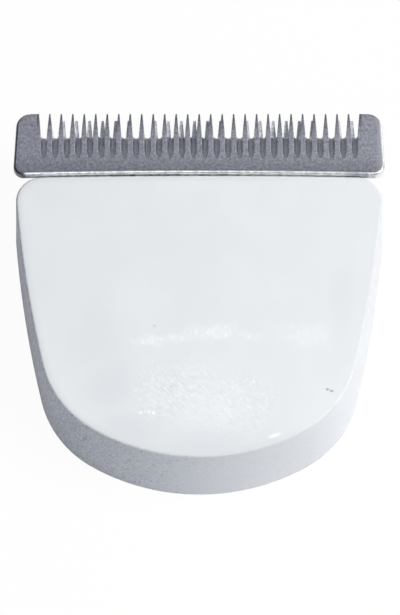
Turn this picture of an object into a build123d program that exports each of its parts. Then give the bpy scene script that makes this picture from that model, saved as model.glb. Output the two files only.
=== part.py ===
from build123d import *

import os
from math import atan2, cos, degrees, radians, sin, sqrt

# Clip-on blade head of a hair trimmer, in millimetres.
# It lies on its open back: +Z is the front face, +Y points to the teeth, X is its width.

# Housing, sized at its open rim
housing_length = 30.5
housing_depth = 10.2
rim_half_width = 18.85
knee_half_width = 14.8
side_bow = 0.63
edge_bow = 0.25
heel_radius = 21.0
heel_corner_radius = 11.0
blade_corner_radius = 3.0
wall_flare = 0.42
wall = 1.4
front_wall = 1.4

# The face bends down a little across its middle, and its edge is broken
bend_from_edge = 14.8
bend_angle = 2.5
bend_radius = 40.0
face_edge_break = 0.12

# Comb blade: a wedge, flat on the skin side and thinnest at the tooth tips
comb_reach = 6.55
comb_side_step = 0.3
comb_side_taper = 0.3
comb_proud = 0.45
comb_front_corner = 1.5
comb_rear_corner = 1.0
comb_edge_round = 0.3
corner_thickness = 0.9
corner_relief_length = 2.0
comb_blank = 4.0
tip_thickness = 0.55
wedge_angle = 16.0
lip_thickness = 0.8
tang_side_step = 3.0
tang_inset = 0.2
seam = 0.1

# Comb teeth: slots that ramp up and run out on the skin side
comb_teeth = 27
tooth_pitch = 1.15
slot_width = 0.64
slot_floor_width = 0.28
slot_floor_rise = 0.26
slot_run = 4.95
slot_through = 2.25
tooth_tip_width = 0.12
tooth_taper_length = 2.2

# Cutter: eight comb pitches hold seven of its own, so few teeth close at a time
cutter_teeth = 24
cutter_pitch = tooth_pitch * 8 / 7
cutter_setback = 0.57
cutter_thickness = 1.4
cutter_tip_thickness = 0.4
cutter_bevel_length = 2.4
cutter_tooth_length = 2.7
cutter_tip_width = 0.26
cutter_gap_width = 0.55
cutter_root_bow = 0.1
cutter_bar_to_seam = 0.45
cutter_tail_clearance = 2.2
cutter_tail_length = 5.1
cutter_land = 1.2
cutter_relief_length = 2.4
cutter_relief_depth = 0.3
cutter_rest_offset = 0.18
blade_gap = 0.02

# Cam follower: a fork for the trimmer's eccentric pin, pegged to the cutter
follower_side_step = 0.8
follower_length = 4.2
follower_plate = 1.1
prong_thickness = 1.9
fork_depth = 3.8
cam_slot_width = 4.4
peg_radius = 0.9
peg_spacing = 11.0
peg_height = 1.1
fork_round = 0.5

# Tension spring: a wire bail hooked under two posts of the housing
wire_diameter = 0.8
spring_half_width = 6.4
spring_tip_inset = 0.7
spring_tail_length = 8.6
spring_tail_drop = 2.4
spring_bend_radius = 1.4
spring_heel = 0.5
touch_gap = 0.05

# Posts that guide the follower and carry the spring
post_width = 2.6
post_thickness = 1.7
hook_thickness = 1.0
guide_gap = 0.1
rib_thickness = 1.5
rib_lip_depth = 0.6

# Screws that hold the comb's tang down on two ledges
screw_to_side = 2.65
screw_radius = 0.95
screw_head_radius = 1.7
screw_head_height = 1.2
screw_bite = 1.2
recess_width = 0.45
recess_length = 1.9
recess_depth = 0.6
screw_head_chamfer = 0.35
thread_gap = 0.05
screw_clearance = 0.15
ledge_thickness = 2.3
ledge_land = 2.0
ledge_setback = 0.6
ledge_length = 4.0

# Catches inside the rim, for the trimmer's nose
catch_height = 1.0
catch_above_rim = 1.6
catch_depth = 0.5
heel_catch_width = 9.0
side_catch_length = 4.0
side_catch_from_edge = 11.5

fit_gap = 0.15
margin = 5.0

# Places along the length and height, with the origin under the middle of the outline
seam_y = (housing_length - wall_flare - seam - comb_reach) / 2
edge_y = seam_y + wall_flare
heel_y = edge_y - housing_length
shoulder_y = seam_y + seam
tip_y = shoulder_y + comb_reach
bend_y = seam_y - bend_from_edge
comb_half_width = rim_half_width - comb_side_step
tang_half_width = rim_half_width - tang_side_step
tang_length = ledge_setback + ledge_length - tang_inset
skin_z = housing_depth + comb_proud
tang_top_z = housing_depth - lip_thickness
inner_z = housing_depth - front_wall
flare_angle = degrees(atan2(wall_flare, housing_depth))

# The plane on which the two blades meet: its origin is under the comb's tips, its Y runs to them
slope = radians(wedge_angle)
cut_plane = Plane(
    origin=(0, tip_y, skin_z - tip_thickness),
    x_dir=(1, 0, 0),
    z_dir=(0, -sin(slope), cos(slope)),
)

# Places on that plane, as distances from the tips
cutter_front = -cutter_setback
bar_rear = cutter_bar_to_seam - (comb_reach + seam) / cos(slope)
tail_rear = bar_rear - cutter_tail_length
follower_front = tail_rear + follower_length
follower_top = -cutter_thickness
plate_bottom = follower_top - follower_plate
fork_bottom = plate_bottom - fork_depth
arm_z = plate_bottom - touch_gap - wire_diameter / 2
peg_y = tail_rear + follower_length / 2
post_front = tail_rear - guide_gap
post_rear = post_front - post_thickness
ledge_front = -(comb_reach + seam + ledge_setback) / cos(slope)
screw_y = ledge_front - ledge_length / 2
screw_spacing = 2 * (tang_half_width - screw_to_side)
ledge_inner = screw_spacing / 2 - ledge_land
tail_half_width = ledge_inner - cutter_tail_clearance
follower_half_width = tail_half_width - follower_side_step
fork_half_width = cam_slot_width / 2 + prong_thickness


def height_on_cut(distance):
    """Height of the cut plane at a distance from the tips."""
    return cut_plane.from_local_coords((0, distance, 0)).Z


def inset_outline(inset):
    """The rim's outline moved inwards, arc by arc, round the same centres."""

    def moved(arc, at):
        point = arc @ at
        normal = (arc % at).rotate(Axis.Z, 90)
        inwards = -1 if normal.dot(point) > 0 else 1
        return point + normal * inwards * inset

    with BuildSketch() as sketch:
        with BuildLine():
            for arc in rim_outline.edges():
                ThreePointArc(moved(arc, 0), moved(arc, 0.5), moved(arc, 1))
        make_face()
    return sketch.sketch


def side_profile(top_z):
    """Everything under the bent face, seen from the side, with its flat part at top_z."""
    with BuildSketch(Plane.YZ) as sketch:
        with BuildLine():
            flat = Line((edge_y + margin, top_z), (bend_y, top_z))
            bend = JernArc(flat @ 1, flat % 1, bend_radius, bend_angle)
            fall = Line(bend @ 1, (bend @ 1) + (bend % 1) * housing_length)
            foot = Vector((fall @ 1).X, -margin)
            Polyline(fall @ 1, foot, (edge_y + margin, -margin), flat @ 0)
        make_face()
    return sketch.sketch


# Housing, the outline of its rim: four bowed sides with rounded corners
with BuildSketch() as rim_outline:
    knee_y = heel_y + heel_radius - sqrt(heel_radius**2 - knee_half_width**2)
    corner_y = edge_y - edge_bow
    with BuildLine():
        ThreePointArc((rim_half_width, corner_y), (0, edge_y), (-rim_half_width, corner_y))
        SagittaArc((-rim_half_width, corner_y), (-knee_half_width, knee_y), -side_bow)
        ThreePointArc((-knee_half_width, knee_y), (0, heel_y), (knee_half_width, knee_y))
        SagittaArc((knee_half_width, knee_y), (rim_half_width, corner_y), -side_bow)
    make_face()
    fillet(rim_outline.vertices().group_by(Axis.Y)[0], heel_corner_radius)
    fillet(rim_outline.vertices().group_by(Axis.Y)[-1], blade_corner_radius)

# Housing, the solid outer form
with BuildPart() as outer_body:
    extrude(rim_outline.sketch, amount=housing_depth)
    draft(outer_body.faces().filter_by(GeomType.CYLINDER), Plane.XY, flare_angle)
    extrude(side_profile(housing_depth), amount=rim_half_width + margin, both=True, mode=Mode.INTERSECT)
    upper = outer_body.edges().filter_by(lambda e: min(v.Z for v in e.vertices()) > housing_depth / 2)
    chamfer(upper - upper.filter_by(Axis.X), face_edge_break)

# Housing, the hollow inside
with BuildPart() as cavity:
    extrude(inset_outline(wall), amount=housing_depth)
    draft(cavity.faces().filter_by(GeomType.CYLINDER), Plane.XY, flare_angle)
    extrude(side_profile(inner_z), amount=rim_half_width + margin, both=True, mode=Mode.INTERSECT)

# Housing, what stands inside: ledges, posts, the spring's rib and the catches
with BuildPart() as fittings:
    with BuildSketch(cut_plane.offset(-ledge_thickness)):
        for side in (-1, 1):
            with Locations((side * ledge_inner, ledge_front)):
                corner = Align.MIN if side > 0 else Align.MAX
                Rectangle(rim_half_width - ledge_inner, ledge_length, align=(corner, Align.MAX))
    extrude(amount=ledge_thickness)
    post_bottom = arm_z - wire_diameter / 2 - touch_gap - hook_thickness
    post_middle = (post_front + post_rear) / 2
    post_top = (housing_depth - front_wall / 2 - height_on_cut(post_middle)) / cos(slope)
    with BuildSketch(cut_plane.offset(post_bottom)):
        with Locations((0, post_middle)):
            with GridLocations(2 * spring_half_width, 0, 2, 1):
                Rectangle(post_width, post_thickness)
    extrude(amount=post_top - post_bottom)
    tail = cut_plane.from_local_coords((spring_half_width, post_rear, arm_z))
    tail_y = tail.Y - spring_tail_length
    rib_z = inner_z - spring_tail_drop + wire_diameter / 2 + touch_gap
    rib_half = spring_half_width + post_width / 2
    with BuildSketch(Plane.YZ):
        with BuildLine():
            rear = tail_y - wire_diameter / 2 - touch_gap
            Polyline(
                (tail_y + rib_thickness / 2, housing_depth - front_wall / 2),
                (tail_y + rib_thickness / 2, rib_z),
                (rear, rib_z),
                (rear, rib_z - rib_lip_depth),
                (rear - rib_thickness / 2, rib_z - rib_lip_depth),
                (rear - rib_thickness / 2, housing_depth - front_wall / 2),
                close=True,
            )
        make_face()
    extrude(amount=rib_half, both=True)
    add(outer_body.part, mode=Mode.INTERSECT)

with BuildPart() as catches:
    with BuildSketch(Plane.XY.offset(catch_above_rim)):
        add(inset_outline(wall / 2))
        add(inset_outline(wall + catch_depth), mode=Mode.SUBTRACT)
    extrude(amount=catch_height)
    with BuildSketch():
        with Locations((0, heel_y)):
            Rectangle(heel_catch_width, 2 * margin)
        with Locations((0, seam_y - side_catch_from_edge)):
            Rectangle(2 * rim_half_width, side_catch_length)
    extrude(amount=housing_depth, mode=Mode.INTERSECT)

with BuildPart() as housing:
    add(outer_body.part)
    add(cavity.part, mode=Mode.SUBTRACT)
    # Mouth at the blade end, between the two corners
    mouth = tang_half_width + fit_gap
    with BuildSketch(Plane.XZ.offset(-edge_y - margin)):
        with Locations((0, tang_top_z)):
            Rectangle(2 * mouth, 2 * housing_depth, align=(Align.CENTER, Align.MAX))
    extrude(amount=margin + wall_flare + wall + face_edge_break, mode=Mode.SUBTRACT)
    add(fittings.part)
    add(catches.part)
    # Pocket in the face wall for the comb's tang
    pocket_rear = seam_y - tang_length - fit_gap
    with BuildSketch(Plane.XY.offset(inner_z - touch_gap)):
        with Locations((0, pocket_rear)):
            Rectangle(2 * mouth, tang_length + margin, align=(Align.CENTER, Align.MIN))
    extrude(amount=tang_top_z - inner_z + touch_gap, mode=Mode.SUBTRACT)
    # Screw holes through the ledges
    with BuildSketch(cut_plane.offset(-ledge_thickness - margin)):
        with Locations((0, screw_y)):
            with GridLocations(screw_spacing, 0, 2, 1):
                Circle(screw_radius + screw_clearance)
    extrude(amount=ledge_thickness + margin, mode=Mode.SUBTRACT)
    # Notches in the posts for the arms of the spring, open towards the middle
    notch_half = wire_diameter / 2 + touch_gap
    with BuildSketch(cut_plane.offset(arm_z - notch_half)):
        with Locations((0, post_middle)):
            Rectangle(2 * (spring_half_width + notch_half), post_thickness + touch_gap)
    extrude(amount=2 * notch_half, mode=Mode.SUBTRACT)
housing.part.label = "housing"

# One slot between two comb teeth: a ramp with bevelled floor edges, widened towards the tips
ramp_drop = skin_z - height_on_cut(-slot_through / cos(slope))
ramp_angle = atan2(ramp_drop, slot_run - slot_through)
ramp_start = Vector(0, tip_y - slot_run, skin_z)
ramp_along = Vector(0, cos(ramp_angle), -sin(ramp_angle))
ramp_plane = Plane(ramp_start, x_dir=(1, 0, 0), z_dir=ramp_along)
with BuildPart() as slot_tool:
    with BuildSketch(ramp_plane.offset(-slot_run)):
        with BuildLine():
            Polyline(
                (-slot_floor_width / 2, 0),
                (slot_floor_width / 2, 0),
                (slot_width / 2, -slot_floor_rise),
                (slot_width / 2, -margin),
                (-slot_width / 2, -margin),
                (-slot_width / 2, -slot_floor_rise),
                close=True,
            )
        make_face()
    extrude(amount=2 * slot_run + margin)
    with BuildSketch(Plane.XY.offset(skin_z - margin)):
        with BuildLine():
            spread = (tooth_pitch - tooth_tip_width - slot_width) / 2 / tooth_taper_length
            near = slot_width / 2
            far = near + spread * (tooth_taper_length + tip_thickness)
            Polyline(
                (-near, tip_y - tooth_taper_length),
                (-far, tip_y + tip_thickness),
                (far, tip_y + tip_thickness),
                (near, tip_y - tooth_taper_length),
                close=True,
            )
        make_face()
    extrude(amount=2 * margin)

# Comb blade
with BuildPart() as comb_blade:
    with BuildSketch(Plane.XY.offset(skin_z)) as comb_plan:
        with BuildLine():
            narrow = comb_half_width - comb_side_taper
            shoulder_end = shoulder_y - edge_bow
            ThreePointArc((-comb_half_width, shoulder_end), (0, shoulder_y), (comb_half_width, shoulder_end))
            Polyline(
                (comb_half_width, shoulder_end),
                (narrow, tip_y),
                (-narrow, tip_y),
                (-comb_half_width, shoulder_end),
            )
        make_face()
        fillet(comb_plan.vertices().group_by(Axis.Y)[-1], comb_front_corner)
        fillet(comb_plan.vertices().group_by(Axis.Y)[0], comb_rear_corner)
    extrude(amount=-comb_blank)
    fillet(comb_blade.faces().sort_by(Axis.Z)[-1].edges(), comb_edge_round)
    # The tang goes back under the lip of the housing
    with BuildSketch(Plane.XY.offset(tang_top_z)):
        with Locations((0, seam_y - tang_length)):
            Rectangle(2 * tang_half_width, tang_length + comb_reach / 2, align=(Align.CENTER, Align.MIN))
    extrude(amount=-comb_blank)
    split(bisect_by=cut_plane, keep=Keep.TOP)
    # The rear corners, outside the tang, are relieved underneath
    with BuildSketch(Plane.XY.offset(skin_z - corner_thickness)):
        with Locations((0, shoulder_end)):
            Rectangle(2 * comb_half_width + margin, 2 * corner_relief_length)
            Rectangle(2 * (tang_half_width + fit_gap), 2 * corner_relief_length, mode=Mode.SUBTRACT)
    extrude(amount=-comb_blank, mode=Mode.SUBTRACT)
    with GridLocations(tooth_pitch, 0, comb_teeth + 1, 1):
        add(slot_tool.part, mode=Mode.SUBTRACT)
    with BuildSketch(cut_plane):
        with Locations((0, screw_y)):
            with GridLocations(screw_spacing, 0, 2, 1):
                Circle(screw_radius + thread_gap)
    extrude(amount=margin, mode=Mode.SUBTRACT)
comb_blade.part.label = "comb_blade"

# The cutter and its follower rest a little to one side of the middle
side_step = Vector(cutter_rest_offset, 0, 0)
cutter_plane = Plane(cut_plane.origin + side_step, x_dir=cut_plane.x_dir, z_dir=cut_plane.z_dir)
cutter_section = Plane(cutter_plane.origin, x_dir=cut_plane.y_dir, z_dir=cut_plane.x_dir)

# One gap between two cutter teeth, with a bowed root
with BuildSketch() as cutter_gap:
    with BuildLine():
        root_half = cutter_gap_width / 2
        mouth_half = (cutter_pitch - cutter_tip_width) / 2
        flank = cutter_tooth_length - cutter_root_bow
        beyond = cutter_tip_thickness
        far_half = mouth_half + (mouth_half - root_half) / flank * beyond
        Polyline((root_half, -flank), (far_half, beyond), (-far_half, beyond), (-root_half, -flank))
        ThreePointArc((-root_half, -flank), (0, -cutter_tooth_length), (root_half, -flank))
    make_face()

# Cutter blade
with BuildPart() as cutter_blade:
    bar_half = cutter_pitch * cutter_teeth / 2 - cutter_gap_width / 2
    with BuildSketch(cutter_section):
        with BuildLine():
            Polyline(
                (cutter_front, -blade_gap),
                (cutter_front, -cutter_tip_thickness),
                (cutter_front - cutter_bevel_length, -cutter_thickness),
                (tail_rear, -cutter_thickness),
                (tail_rear, -blade_gap),
                close=True,
            )
        make_face()
    extrude(amount=bar_half, both=True)
    with BuildSketch(cutter_plane.offset(-cutter_thickness)):
        with Locations((0, cutter_front)):
            Rectangle(2 * bar_half, cutter_front - bar_rear, align=(Align.CENTER, Align.MAX))
        with Locations((0, tail_rear)):
            Rectangle(2 * tail_half_width, cutter_front - tail_rear, align=(Align.CENTER, Align.MIN))
    extrude(amount=cutter_thickness, mode=Mode.INTERSECT)
    with BuildSketch(cutter_plane.offset(-cutter_thickness)):
        with Locations((0, cutter_front)):
            with GridLocations(cutter_pitch, 0, cutter_teeth + 1, 1):
                add(cutter_gap.sketch)
        with Locations((0, peg_y)):
            with GridLocations(peg_spacing, 0, 2, 1):
                Circle(peg_radius + thread_gap)
    extrude(amount=cutter_thickness, mode=Mode.SUBTRACT)
    # Hollow between the front land and the rear foot, so that only those rub on the comb
    with BuildSketch(cutter_plane.offset(-blade_gap - cutter_relief_depth)):
        with Locations((0, cutter_front - cutter_tooth_length - cutter_land)):
            Rectangle(2 * bar_half, cutter_relief_length, align=(Align.CENTER, Align.MAX))
    extrude(amount=cutter_relief_depth, mode=Mode.SUBTRACT)
cutter_blade.part.label = "cutter_blade"

# Cam follower
with BuildPart() as cam_follower:
    with BuildSketch(cutter_plane.offset(plate_bottom)):
        with Locations((0, tail_rear)):
            Rectangle(2 * follower_half_width, follower_length, align=(Align.CENTER, Align.MIN))
    extrude(amount=follower_plate)
    with BuildSketch(cutter_plane.offset(fork_bottom)):
        with Locations((0, tail_rear)):
            Rectangle(2 * fork_half_width, follower_length, align=(Align.CENTER, Align.MIN))
            Rectangle(cam_slot_width, follower_length, align=(Align.CENTER, Align.MIN), mode=Mode.SUBTRACT)
    extrude(amount=fork_depth)
    prong_ends = cam_follower.faces().sort_by(cutter_plane.location.z_axis)[:2]
    fillet(prong_ends.edges().filter_by(cutter_plane.location.y_axis), fork_round)
    with BuildSketch(cutter_plane.offset(follower_top)):
        with Locations((0, peg_y)):
            with GridLocations(peg_spacing, 0, 2, 1):
                Circle(peg_radius)
    extrude(amount=peg_height)
cam_follower.part.label = "cam_follower"

# Tension spring: from one tip under the follower, round the tail and back to the other tip
with BuildPart() as tension_spring:
    tip_local = follower_front - spring_tip_inset
    arm_tip = cut_plane.from_local_coords((spring_half_width, tip_local, arm_z))
    arm_heel = cut_plane.from_local_coords((spring_half_width, post_rear - spring_heel, arm_z))
    arm_tail = Vector(spring_half_width, tail_y, inner_z - spring_tail_drop)
    right_arm = [arm_tip, arm_heel, arm_tail]
    left_arm = [Vector(-p.X, p.Y, p.Z) for p in reversed(right_arm)]
    with BuildLine() as wire_path:
        FilletPolyline(*right_arm, *left_arm, radius=spring_bend_radius)
    with BuildSketch(Plane(wire_path.line @ 0, z_dir=wire_path.line % 0)):
        Circle(wire_diameter / 2)
    sweep()
tension_spring.part.label = "tension_spring"

# Blade screws, driven from inside the housing
with BuildPart() as blade_screws:
    head_plane = cut_plane.offset(-ledge_thickness)
    with BuildSketch(head_plane):
        with Locations((0, screw_y)):
            with GridLocations(screw_spacing, 0, 2, 1):
                Circle(screw_radius)
    extrude(amount=ledge_thickness + screw_bite)
    with BuildSketch(head_plane):
        with Locations((0, screw_y)):
            with GridLocations(screw_spacing, 0, 2, 1):
                Circle(screw_head_radius)
    extrude(amount=-screw_head_height)
    head_ends = blade_screws.faces().filter_by(GeomType.PLANE).sort_by(cut_plane.location.z_axis)[:2]
    chamfer(head_ends.edges(), screw_head_chamfer)
    with BuildSketch(head_plane.offset(-screw_head_height)):
        with Locations((0, screw_y)):
            with GridLocations(screw_spacing, 0, 2, 1):
                Rectangle(recess_length, recess_width)
                Rectangle(recess_width, recess_length)
    extrude(amount=recess_depth, mode=Mode.SUBTRACT)
blade_screws.part.label = "blade_screws"

os.makedirs("parts", exist_ok=True)
for piece in (housing, comb_blade, cutter_blade, cam_follower, tension_spring, blade_screws):
    export_step(piece.part, f"parts/{piece.part.label}.step")
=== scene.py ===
from math import cos, pi, radians, sin

import bpy
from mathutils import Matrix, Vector


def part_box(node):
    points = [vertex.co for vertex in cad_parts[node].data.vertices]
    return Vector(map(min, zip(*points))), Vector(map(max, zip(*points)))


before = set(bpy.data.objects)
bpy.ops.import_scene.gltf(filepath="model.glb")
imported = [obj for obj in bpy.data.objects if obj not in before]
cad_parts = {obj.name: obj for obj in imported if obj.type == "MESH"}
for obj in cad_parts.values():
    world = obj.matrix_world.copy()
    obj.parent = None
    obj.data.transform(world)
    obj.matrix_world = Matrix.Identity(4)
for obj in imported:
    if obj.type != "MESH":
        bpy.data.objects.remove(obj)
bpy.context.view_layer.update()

# Blade head of a hair trimmer, seen from above its front face.
# Lengths are in metres, and in millimetres inside the materials.
MILLI = 0.001

# Camera, at the photograph's viewing angle, with its sensor in millimetres
VIEW_ELEVATION = 67.5
VIEW_DISTANCE = 0.400
VIEW_HEIGHT = 0.0612
VIEW_AIM = Vector((0.00008, -0.00059, 0.0055))
VIEW_NEAREST = 0.01
VIEW_FURTHEST = 100.0
SENSOR = 36.0

# Floor: its width, how far it lies under the part, and the share of shade in what the camera sees of it
FLOOR_WIDTH = 20.0
FLOOR_DROP = 0.02 * MILLI
FLOOR_SHADE = 0.045

# The sky's brightest place, as a lean towards the teeth and a rise
SKY_LEAN = 0.38
SKY_RISE = 0.92

# Places on the part in millimetres: the housing's face, and the comb's skin side, tips, slots and rear edge
FACE_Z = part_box("housing")[1][2] / MILLI
SKIN_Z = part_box("comb_blade")[1][2] / MILLI
TIP_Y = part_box("comb_blade")[1][1] / MILLI
SLOT_END_Y = TIP_Y - 4.95
REAR_Y = TIP_Y - 6.55
TOOTH_ROW_HALF = 16.2

# Marks on the housing's face, painted highlights among them, in millimetres: the middle, two half sizes,
# the turn and the strength
MARK_DEPTH = 6.0
THUMB_SCUFFS = (
    (-2.4, -11.4, 6.6, 5.0, 0, 1.0),
    (3.0, -12.6, 6.6, 5.0, 0, 0.9),
)
# A painted sheen that lightens the lower face
PAINTED_SHEEN = (
    (1.8, -12.9, 6.5, 3.0, 5, 1.0),
)
LIGHT_SCRATCHES_AND_GLINT = (
    (-3.23, -11.05, 1.2, 0.08, -44, 0.7),
    (-1.44, -12.68, 0.9, 0.08, -49, 0.5),
    (0.31, -10.68, 0.8, 0.08, -52, 0.5),
    (1.31, -11.93, 0.7, 0.08, -58, 0.4),
    # A glint dash on the lower edge, a painted highlight
    (7.33, -15.78, 0.95, 0.27, 19, 1.0),
)
DARK_SCRATCHES = (
    (-3.15, -10.91, 1.2, 0.09, -44, 0.40),
    (-3.31, -11.23, 1.0, 0.08, -44, 0.34),
    (-1.59, -12.73, 0.7, 0.07, -49, 0.20),
    (0.11, -10.78, 0.6, 0.07, -52, 0.20),
)
# The pale band along the bend: rubbing and a painted highlight
BEND_RUB_AND_HIGHLIGHT = (
    (-4.9, -6.00, 2.8, 0.75, 4, 0.95),
    (-2.2, -5.75, 3.0, 0.80, 5, 0.8),
    (1.2, -5.10, 3.8, 1.25, 3, 0.85),
    (4.9, -5.55, 2.2, 0.70, 0, 0.55),
    (10.0, -5.45, 3.8, 2.00, 0, 0.45),
)
# The first three are painted glints on the bend; the rest are white specks on the face
GLINTS_AND_SPECKS = (
    (0.83, -5.13, 0.13, 0.38, 0, 0.9),
    (2.66, -5.48, 0.15, 0.26, 0, 1.0),
    (4.86, -5.58, 0.28, 0.12, 0, 0.8),
    (-5.71, -13.43, 0.25, 0.24, 0, 1.0),
    (-5.29, -13.33, 0.16, 0.16, 0, 0.7),
    (-4.91, -13.36, 0.24, 0.22, 0, 1.0),
    (-4.43, -13.45, 0.28, 0.27, 0, 1.0),
    (5.33, -10.23, 0.18, 0.20, -45, 0.8),
    (2.09, -13.53, 0.18, 0.18, 0, 0.8),
)
NICKS = (
    (-4.37, -4.48, 0.24, 0.24, 0, 0.25),
    (12.51, -11.05, 0.24, 0.18, -10, 0.8),
    (12.91, -11.21, 0.27, 0.17, -10, 0.8),
)
# Greyer patches along the face's left, right and lower edges
GREYED_PATCHES = (
    (-10.4, -6.0, 4.2, 9.5, 5, 0.6),
    (-8.9, -10.8, 4.8, 5.0, 0, 1.0),
    (-6.8, -15.4, 6.5, 3.8, -20, 1.1),
    (1.0, -17.4, 11.5, 3.6, 0, 1.3),
    (12.6, -8.8, 2.6, 4.0, 15, 0.4),
    (6.2, 8.8, 4.0, 3.0, 0, 0.3),
    (13.9, -2.5, 2.0, 10.5, -4, 0.55),
)


class Term:
    """A node's output socket, so that shader maths is written as expressions."""

    def __init__(self, nodes, socket):
        self.nodes = nodes
        self.socket = socket

    def __add__(self, other):
        return self.nodes.math("ADD", self, other)

    def __sub__(self, other):
        return self.nodes.math("SUBTRACT", self, other)

    def __rsub__(self, other):
        return self.nodes.math("SUBTRACT", other, self)

    def __mul__(self, other):
        return self.nodes.math("MULTIPLY", self, other)

    def __abs__(self):
        return self.nodes.math("ABSOLUTE", self)

    __radd__ = __add__
    __rmul__ = __mul__


class Nodes:
    """The node tree of a material or of the world."""

    def __init__(self, tree):
        self.tree = tree

    def node(self, kind, settings=(), sockets=(), output=0):
        """Add a node of a kind, with its settings first and then the values or links of its sockets."""
        made = self.tree.nodes.new(kind)
        for name, value in dict(settings).items():
            setattr(made, name, value)
        for name, value in dict(sockets).items():
            self.feed(self.pick(made.inputs, name), value)
        return Term(self, self.pick(made.outputs, output))

    def pick(self, sockets, name):
        """The socket at a place, or the one in use that has a name."""
        if isinstance(name, int):
            return [socket for socket in sockets if socket.enabled][name]
        return next(socket for socket in sockets if socket.enabled and socket.name == name)

    def feed(self, socket, value):
        """Link a term to a socket, or set the socket's value."""
        if isinstance(value, Term):
            self.tree.links.new(value.socket, socket)
        else:
            socket.default_value = value

    def outputs(self, term, names):
        """Several outputs of the node that a term comes from."""
        return [Term(self, term.socket.node.outputs[name]) for name in names]

    def math(self, operation, *values):
        return self.node("ShaderNodeMath", {"operation": operation}, dict(enumerate(values)))

    def rise(self, value, low, high):
        """Go from 0 at low to 1 at high, with soft ends."""
        settings = {"interpolation_type": "SMOOTHSTEP", "clamp": True}
        sockets = {"Value": value, "From Min": low, "From Max": high}
        return self.node("ShaderNodeMapRange", settings, sockets)

    def fall(self, value, low, high):
        """Go from 1 at low to 0 at high, with soft ends."""
        return 1 - self.rise(value, low, high)

    def mix(self, factor, first, second):
        """Go from the first colour to the second."""
        settings = {"data_type": "RGBA", "clamp_factor": True}
        return self.node("ShaderNodeMix", settings, {"Factor": factor, "A": first, "B": second})

    def grain(self, place, scale, detail=3.0, roughness=0.5):
        """Noise about 0.5, with its scale in features per unit of the place."""
        sockets = {"Vector": place, "Scale": scale, "Detail": detail, "Roughness": roughness}
        return self.node("ShaderNodeTexNoise", {}, sockets)

    def patch(self, place, centre, size, turn=0.0):
        """The place as seen from a patch that is centred, turned about Z and scaled to a size."""
        sockets = {"Vector": place, "Location": centre, "Rotation": (0, 0, radians(turn)), "Scale": size}
        return self.node("ShaderNodeMapping", {"vector_type": "TEXTURE"}, sockets)

    def wavered(self, place, scale, amount):
        """The place pushed about by a noise, so that outlines drawn on it come out uneven."""
        noise_sockets = {"Vector": place, "Scale": scale, "Detail": 2.0}
        noise = self.node("ShaderNodeTexNoise", {}, noise_sockets, "Color")
        push = self.node("ShaderNodeVectorMath", {"operation": "SUBTRACT"}, {0: noise, 1: (0.5, 0.5, 0.5)})
        sockets = {0: push, 1: (amount, amount, amount), 2: place}
        return self.node("ShaderNodeVectorMath", {"operation": "MULTIPLY_ADD"}, sockets)

    def length(self, vector):
        return self.node("ShaderNodeVectorMath", {"operation": "LENGTH"}, {0: vector}, "Value")

    def axes(self, vector):
        """The X, Y and Z of a vector."""
        return self.outputs(self.node("ShaderNodeSeparateXYZ", {}, {"Vector": vector}), "XYZ")


class Finish(Nodes):
    """A procedural material for one of the part's nodes, with its shader."""

    def __init__(self, name, **constants):
        self.material = bpy.data.materials.new(name)
        self.material.use_nodes = True
        super().__init__(self.material.node_tree)
        self.shader = self.tree.nodes["Principled BSDF"]
        for socket, value in constants.items():
            self.give(socket.replace("_", " "), value)

    def give(self, socket, value):
        self.feed(self.shader.inputs[socket], value)

    def place(self):
        """Object coordinates in millimetres."""
        spot = self.node("ShaderNodeTexCoord", {}, {}, "Object")
        sockets = {"Vector": spot, "Scale": (1 / MILLI, 1 / MILLI, 1 / MILLI)}
        return self.node("ShaderNodeMapping", {"vector_type": "POINT"}, sockets)

    def facing(self):
        """The surface's own direction, in the object's frame."""
        return self.node("ShaderNodeTexCoord", {}, {}, "Normal")

    def rounding(self, edge):
        """The surface's direction with its edges rounded off to a radius in millimetres."""
        return self.node("ShaderNodeBevel", {"samples": 6}, {"Radius": edge * MILLI})

    def in_object(self, direction):
        """A direction in the world, turned into the object's frame."""
        settings = {"vector_type": "NORMAL", "convert_from": "WORLD", "convert_to": "OBJECT"}
        return self.node("ShaderNodeVectorTransform", settings, {"Vector": direction})

    def bump(self, height, strength, depth, over=None):
        """Raise the surface by a height in millimetres, over its own direction or a rounded one."""
        sockets = {"Height": height, "Strength": strength, "Distance": depth * MILLI}
        if over is not None:
            sockets["Normal"] = over
        self.give("Normal", self.node("ShaderNodeBump", {}, sockets))

    def put_on(self, node):
        """Make this the only material of a node of the frame."""
        for slot in bpy.data.objects[node].material_slots:
            slot.material = self.material


def shade(colour, factor):
    """A colour made darker or lighter, with its alpha."""
    return tuple(min(1.0, factor * value) for value in colour) + (1,)


def largest(first, *others):
    """The largest of several masks."""
    for other in others:
        first = first.nodes.math("MAXIMUM", first, other)
    return first


def patches(finish, place, ovals, soft=0.0):
    """The largest of several ovals on the face, which fade from a share of their size to their outline."""
    masks = []
    for x, y, half_length, half_width, turn, strength in ovals:
        near = finish.patch(place, (x, y, FACE_Z), (half_length, half_width, MARK_DEPTH), turn)
        masks.append(finish.fall(finish.length(near), soft, 1.0) * strength)
    return largest(*masks)


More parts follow.
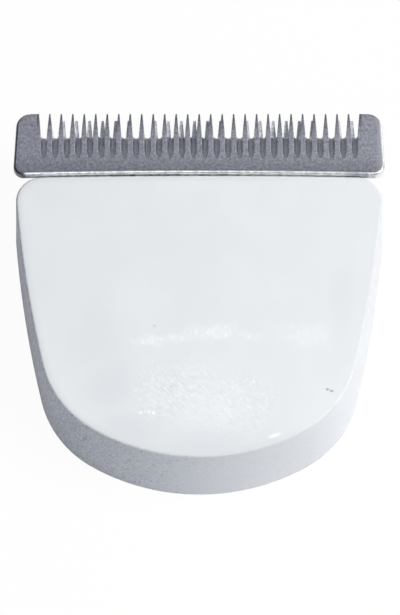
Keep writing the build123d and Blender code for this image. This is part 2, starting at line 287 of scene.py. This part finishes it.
def housing_plastic():
    """Glossy white moulding: scuffed on its face, pale along its bend from rubbing and a painted highlight,
    with painted glints and sheen, painted shade on and inside its rim and on its left wall, grained on its
    walls.
    """
    plain = (0.815, 0.845, 0.860, 1)
    dull = (0.785, 0.817, 0.836, 1)
    greyed = (0.715, 0.752, 0.780, 1)
    pale_wear_and_highlight = (0.960, 0.970, 0.975, 1)
    soiled = (0.20, 0.21, 0.23, 1)
    bare_wall = (0.920, 0.932, 0.938, 1)
    wall_shade = (0.20, 0.23, 0.32, 1)
    edge_shade = (0.46, 0.48, 0.52, 1)
    finish = Finish("housing_plastic", Specular_IOR_Level=0.4)
    place = finish.place()
    across = finish.axes(place)[0]

    # The face, the rim round it and the greyed shoulder inside the rim, a painted shade that is weaker to
    # the right where the light falls, which end at the comb's seat
    rounded = finish.rounding(edge=0.36)
    ahead, up = finish.axes(finish.in_object(rounded))[1:]
    face = finish.rise(up, 0.80, 0.97)
    outer = finish.fall(ahead, 0.10, 0.40)
    rim = finish.rise(up, 0.15, 0.60) * finish.fall(up, 0.80, 0.99) * outer
    eased = finish.axes(finish.in_object(finish.rounding(edge=1.3)))[2]
    less_shade_right = 1 - finish.rise(across, 5.0, 12.0) * 0.85
    shoulder_shade = finish.fall(eased, 0.95, 0.999) * outer * less_shade_right

    # Scuffs where a thumb pushes the head off: pale and dull flecks that fall to the right, and scratches
    thumb = patches(finish, finish.wavered(place, scale=0.55, amount=2.6), THUMB_SCUFFS, soft=0.15)
    falling = finish.patch(place, (0, 0, 0), (0.95, 0.26, 9.0), turn=-48)
    fleck_grain = finish.grain(falling, scale=1.0, detail=2.0, roughness=0.6)
    speck_grain = finish.grain(place, scale=2.9, detail=2.0, roughness=0.6)
    scuff_grain = fleck_grain * 0.5 + speck_grain * 0.5
    flecks = finish.rise(scuff_grain, 0.50, 0.62) * thumb
    dull_flecks = finish.fall(scuff_grain, 0.38, 0.49) * thumb
    # A painted sheen low on the face
    sheen = patches(finish, place, PAINTED_SHEEN)
    # Light scratches, and a painted highlight as a dash on the lower edge
    light_scratches_and_glint = patches(finish, place, LIGHT_SCRATCHES_AND_GLINT, soft=0.3)
    dark_scratches = patches(finish, place, DARK_SCRATCHES, soft=0.3)

    # The bend is painted pale, partly as rubbing and partly as a highlight, in fine streaks that run down
    # the face
    bend = patches(finish, finish.wavered(place, scale=0.9, amount=1.3), BEND_RUB_AND_HIGHLIGHT, soft=0.15)
    streak_grain = finish.grain(finish.patch(place, (0, 0, 0), (0.20, 0.60, 9.0)), scale=1.0, detail=2.0)
    streaks = bend * (0.35 + finish.rise(streak_grain, 0.42, 0.64) * 0.65)
    # Painted glints on the bend, and white specks lower on the face
    glints_and_specks = patches(finish, place, GLINTS_AND_SPECKS, soft=0.3)
    nicks = patches(finish, place, NICKS, soft=0.2)

    # The face's colour: slightly cloudy, greyer in patches along its edges and with painted shade inside
    # the rim, then painted pale with wear and highlights, and marked dark
    # Painted pale: the scuff flecks, light scratches and white specks as wear and marks, and the sheen, the
    # glint dash, the glints and in part the bend's streaks as painted highlights
    wear_and_highlights = largest(flecks * 0.55, sheen * 0.22, light_scratches_and_glint * 0.9, streaks * 0.75, glints_and_specks) * face
    marks = largest(nicks * 0.9, dark_scratches * 0.5, dull_flecks * 0.08) * face
    cloud = finish.grain(place, scale=0.14)
    greyed_patches = patches(finish, place, GREYED_PATCHES)
    colour = finish.mix(finish.rise(cloud, 0.3, 0.7), dull, plain)
    # Greyer patches, and the painted shade of the shoulder inside the rim
    colour = finish.mix(largest(greyed_patches * 0.7, shoulder_shade), colour, greyed)
    colour = finish.mix(wear_and_highlights, colour, pale_wear_and_highlight)
    colour = finish.mix(marks, colour, soiled)

    # The walls carry the fine grain of the mould, darkened towards the left with a bluish painted shade,
    # and pits on the left
    speckle = finish.grain(place, scale=3.8, detail=4.0, roughness=0.75)
    grain_and_left_shade = (0.07 + finish.fall(across, -13.0, 3.0) * 0.38) * finish.fall(speckle, 0.43, 0.58)
    pit_grain = finish.grain(place, scale=2.6, detail=2.0, roughness=0.6)
    pits = finish.rise(pit_grain, 0.63, 0.69) * finish.fall(across, -8.0, 6.0)
    wall = finish.mix(grain_and_left_shade, bare_wall, wall_shade)
    wall = finish.mix(pits * 0.6, wall, soiled)
    colour = finish.mix(face, wall, colour)
    # The rim's rounding is painted grey, as shade on the edge
    finish.give("Base Color", finish.mix(rim * 0.4, colour, edge_shade))
    finish.give("Roughness", 0.36 + wear_and_highlights * 0.15 + (1 - face) * 0.22)
    finish.bump(speckle * (1 - face), strength=0.5, depth=0.03, over=rounded)
    return finish


def ground_steel(name, colour):
    """Satin ground steel, finely mottled: its finish, place, base colour, roughness and fine grain."""
    finish = Finish(name, Metallic=1.0)
    place = finish.place()
    mottle = finish.grain(place, scale=3.2, detail=4.0, roughness=0.7)
    fine = finish.grain(place, scale=8.0, detail=3.0, roughness=0.6)
    tone = finish.rise(mottle * 0.55 + fine * 0.45, 0.34, 0.66)
    mottled = finish.mix(tone, shade(colour, 0.62), shade(colour, 1.36))
    return finish, place, mottled, 0.36 + (fine - 0.5) * 0.12, fine


def comb_steel():
    """The comb's steel: slots painted paler against their shade, oily dirt at the tips, dirt and painted
    shade at the seam, painted shade on the left end and painted light on the right, and a burnished rear
    edge painted as a highlight.
    """
    oil = (0.085, 0.087, 0.100, 1)
    slot_painted_light = (0.88, 0.89, 0.93, 1)
    end_painted_light = (0.92, 0.93, 0.97, 1)
    burnished = (0.98, 0.98, 0.99, 1)
    finish, place, colour, roughness, fine = ground_steel("blade_steel", (0.62, 0.63, 0.68))
    x, y, z = finish.axes(place)
    side, ahead = finish.axes(finish.facing())[:2]

    # The row of teeth: its slots, sunk below the skin side and painted paler against their shade, and its
    # oily tips
    in_row = finish.fall(abs(x), TOOTH_ROW_HALF, TOOTH_ROW_HALF + 0.1)
    sunk = finish.fall(z, SKIN_Z - 0.06, SKIN_Z) * finish.rise(y, SLOT_END_Y - 0.1, SLOT_END_Y + 0.1)
    tips = finish.rise(y, TIP_Y - 2.6, TIP_Y - 0.3)
    smear = finish.grain(place, scale=1.3, detail=3.0, roughness=0.6)
    oiled = tips * (0.25 + smear * 0.6) * in_row

    # The rear: a darker band with a lip of painted shade, the edge's slope, and the blade's two ends, the
    # right one painted light and the left one painted shade
    rear_band = finish.fall(y, REAR_Y + 0.3, REAR_Y + 2.2)
    eased = finish.axes(finish.in_object(finish.rounding(edge=0.5)))[1]
    lip_shade = finish.fall(eased, -0.20, -0.03) * finish.fall(y, REAR_Y + 1.0, REAR_Y + 1.2)
    slope = finish.fall(ahead, -0.35, -0.10) * finish.fall(y, REAR_Y + 0.5, REAR_Y + 0.7)
    right_end_light = finish.rise(x, 17.4, 18.1)
    left_side_shade = finish.fall(side, -0.45, -0.12) * finish.fall(x, -17.4, -17.0)
    left_end_shade = largest(left_side_shade, slope * finish.fall(x, -17.6, -17.1))
    rear_edge = slope * (1 - left_end_shade)

    # The rear edge is burnished in patches and painted as a highlight that dims near its right end, and
    # holds dirt and painted shade at the seam
    patchy = finish.rise(finish.grain(place, scale=1.7, detail=3.0, roughness=0.65), 0.40, 0.58)
    dimmed = finish.rise(x, 13.5, 15.5) * finish.fall(x, 16.6, 17.0)
    burnish_and_highlight = rear_edge * (0.60 + patchy * 0.40) * (1 - dimmed * 0.5)
    broken = finish.rise(finish.grain(place, scale=1.1, detail=4.0, roughness=0.7), 0.46, 0.60)
    seam_dark_span = finish.rise(x, -14.0, -10.0) * (1 - finish.rise(x, -2.0, 6.0) * 0.85)
    seam_dirt_and_shade = rear_edge * finish.fall(z, FACE_Z, FACE_Z + 0.14) * broken * seam_dark_span

    # Slots painted paler against their shade, oil at the tips, a darker rear band, painted shade on the lip
    # and the left end, painted light on the right end, the rear edge burnished and painted as a highlight,
    # and dirt with painted shade at the seam
    colour = finish.mix(sunk * in_row * 0.35, colour, slot_painted_light)
    colour = finish.mix(oiled, colour, oil)
    colour = finish.mix(rear_band * 0.26, colour, oil)
    colour = finish.mix(lip_shade * 0.4, colour, oil)
    # The right end is painted lighter, as light from the right
    colour = finish.mix(right_end_light * 0.5, colour, end_painted_light)
    colour = finish.mix(left_end_shade * 0.85, colour, oil)
    colour = finish.mix(burnish_and_highlight, colour, burnished)
    # Dirt and painted shade along the seam, darkest left of the middle
    finish.give("Base Color", finish.mix(seam_dirt_and_shade * 0.55, colour, oil))
    finish.give("Roughness", roughness - rear_edge * 0.06)
    finish.bump(fine + smear * 0.5, strength=0.25, depth=0.012, over=finish.rounding(edge=0.08))
    return finish


def cutter_steel():
    """The cutter's steel, a little brighter, with oily patches."""
    oil = (0.10, 0.10, 0.115, 1)
    finish, place, colour, roughness, fine = ground_steel("cutter_steel", (0.66, 0.67, 0.71))
    smear = finish.grain(place, scale=1.6, detail=3.0, roughness=0.6)
    finish.give("Base Color", finish.mix(finish.rise(smear, 0.45, 0.70) * 0.4, colour, oil))
    finish.give("Roughness", roughness)
    finish.bump(fine, strength=0.25, depth=0.012)
    return finish


def follower_plastic():
    """Dark matte moulding."""
    darker = (0.075, 0.075, 0.085, 1)
    lighter = (0.12, 0.12, 0.13, 1)
    finish = Finish("follower_plastic", Specular_IOR_Level=0.4)
    place = finish.place()
    cloud = finish.grain(place, scale=0.7, detail=2.0)
    finish.give("Base Color", finish.mix(cloud, darker, lighter))
    finish.give("Roughness", 0.45 + cloud * 0.15)
    mould_grain = finish.grain(place, scale=8.0, detail=2.0)
    finish.bump(mould_grain, strength=0.3, depth=0.02, over=finish.rounding(edge=0.12))
    return finish


def plated_steel(name, colour):
    """Bright drawn or plated steel with slight clouding."""
    finish = Finish(name, Metallic=1.0)
    place = finish.place()
    cloud = finish.grain(place, scale=1.5)
    finish.give("Base Color", finish.mix(cloud, shade(colour, 0.8), shade(colour, 1.0)))
    finish.give("Roughness", 0.29 + cloud * 0.15)
    finish.bump(finish.grain(place, scale=7.0, detail=2.0), strength=0.15, depth=0.01)
    return finish


housing_plastic().put_on("housing")
comb_steel().put_on("comb_blade")
cutter_steel().put_on("cutter_blade")
follower_plastic().put_on("cam_follower")
plated_steel("spring_steel", (0.55, 0.55, 0.57)).put_on("tension_spring")
plated_steel("screw_steel", (0.60, 0.60, 0.62)).put_on("blade_screws")


def pale_floor():
    """A floor that looks white with a faint shadow, also in reflections, and bounces little light."""
    white = (1, 1, 1, 1)
    card_white = (0.9, 0.9, 0.9, 1)
    bounce = (0.52, 0.56, 0.64, 1)
    bpy.ops.object.select_all(action="DESELECT")
    bpy.ops.mesh.primitive_plane_add(size=FLOOR_WIDTH, location=(0, 0, -FLOOR_DROP))
    floor = bpy.context.object
    floor.name = "floor"
    finish = Finish("floor_card")
    shown = finish.node("ShaderNodeEmission", {}, {"Color": white, "Strength": 1.0})
    shaded = finish.node("ShaderNodeBsdfDiffuse", {}, {"Color": card_white})
    card = finish.node("ShaderNodeMixShader", {}, {0: FLOOR_SHADE, 1: shown, 2: shaded})
    bounced = finish.node("ShaderNodeBsdfDiffuse", {}, {"Color": bounce})
    path = finish.node("ShaderNodeLightPath")
    rays = finish.outputs(path, ("Is Camera Ray", "Is Glossy Ray", "Is Transmission Ray"))
    direct = finish.math("MINIMUM", rays[0] + rays[1] + rays[2], 1.0)
    seen = finish.node("ShaderNodeMixShader", {}, {0: direct, 1: bounced, 2: card})

    # From below the floor is clear
    under = finish.node("ShaderNodeNewGeometry", {}, {}, "Backfacing")
    clear = finish.node("ShaderNodeBsdfTransparent")
    sheet = finish.node("ShaderNodeMixShader", {}, {0: under, 1: seen, 2: clear})
    finish.feed(finish.tree.nodes["Material Output"].inputs["Surface"], sheet)
    floor.data.materials.append(finish.material)


def softbox(name, azimuth, elevation, distance, width, height, glow, tint=(1, 1, 1)):
    """An area lamp that faces the part, turned from the front towards +X; a glow of 1 is white."""
    lamp = bpy.data.lights.new(name, "AREA")
    lamp.shape = "RECTANGLE"
    lamp.size = width
    lamp.size_y = height
    lamp.energy = glow * pi * width * height
    lamp.color = tint
    box = bpy.data.objects.new(name, lamp)
    bpy.context.scene.collection.objects.link(box)
    turn = radians(azimuth)
    rise = radians(elevation)
    towards = Vector((sin(turn) * cos(rise), -cos(turn) * cos(rise), sin(rise)))
    box.location = VIEW_AIM + distance * towards
    box.rotation_euler = towards.to_track_quat("Z", "Y").to_euler()


def studio_world():
    """Soft light from above, brightest overhead and behind the teeth."""
    dark = (0.0, 0.0, 0.0, 1)
    bright = (0.285, 0.295, 0.34, 1)
    world = bpy.data.worlds.new("studio")
    bpy.context.scene.world = world
    world.use_nodes = True
    nodes = Nodes(world.node_tree)
    ahead, up = nodes.axes(nodes.node("ShaderNodeTexCoord", {}, {}, "Generated"))[1:]
    overhead = nodes.rise(SKY_RISE * up + SKY_LEAN * ahead, 0.2, 0.95)
    background = world.node_tree.nodes["Background"]
    nodes.feed(background.inputs["Color"], nodes.mix(overhead, dark, bright))


def photo_camera():
    """A long lens at the photograph's viewing angle."""
    data = bpy.data.cameras.new("photo_camera")
    data.sensor_width = SENSOR
    data.lens = SENSOR * VIEW_DISTANCE / VIEW_HEIGHT
    data.clip_start = VIEW_NEAREST
    data.clip_end = VIEW_FURTHEST
    camera = bpy.data.objects.new("photo_camera", data)
    bpy.context.scene.collection.objects.link(camera)
    rise = radians(VIEW_ELEVATION)
    camera.location = VIEW_AIM + VIEW_DISTANCE * Vector((0, -cos(rise), sin(rise)))
    camera.rotation_euler = (radians(90) - rise, 0, 0)
    bpy.context.scene.camera = camera


pale_floor()
studio_world()
softbox("key", azimuth=76, elevation=53, distance=0.40, width=0.25, height=0.25, glow=8.15,
        tint=(1.0, 0.99, 0.965))
softbox("side", azimuth=124, elevation=12, distance=0.50, width=0.20, height=0.16, glow=3.2,
        tint=(1.0, 0.95, 0.84))
softbox("strip", azimuth=-10, elevation=42, distance=0.50, width=0.16, height=0.40, glow=2.05)
photo_camera()
bpy.context.scene.view_settings.view_transform = "Standard"
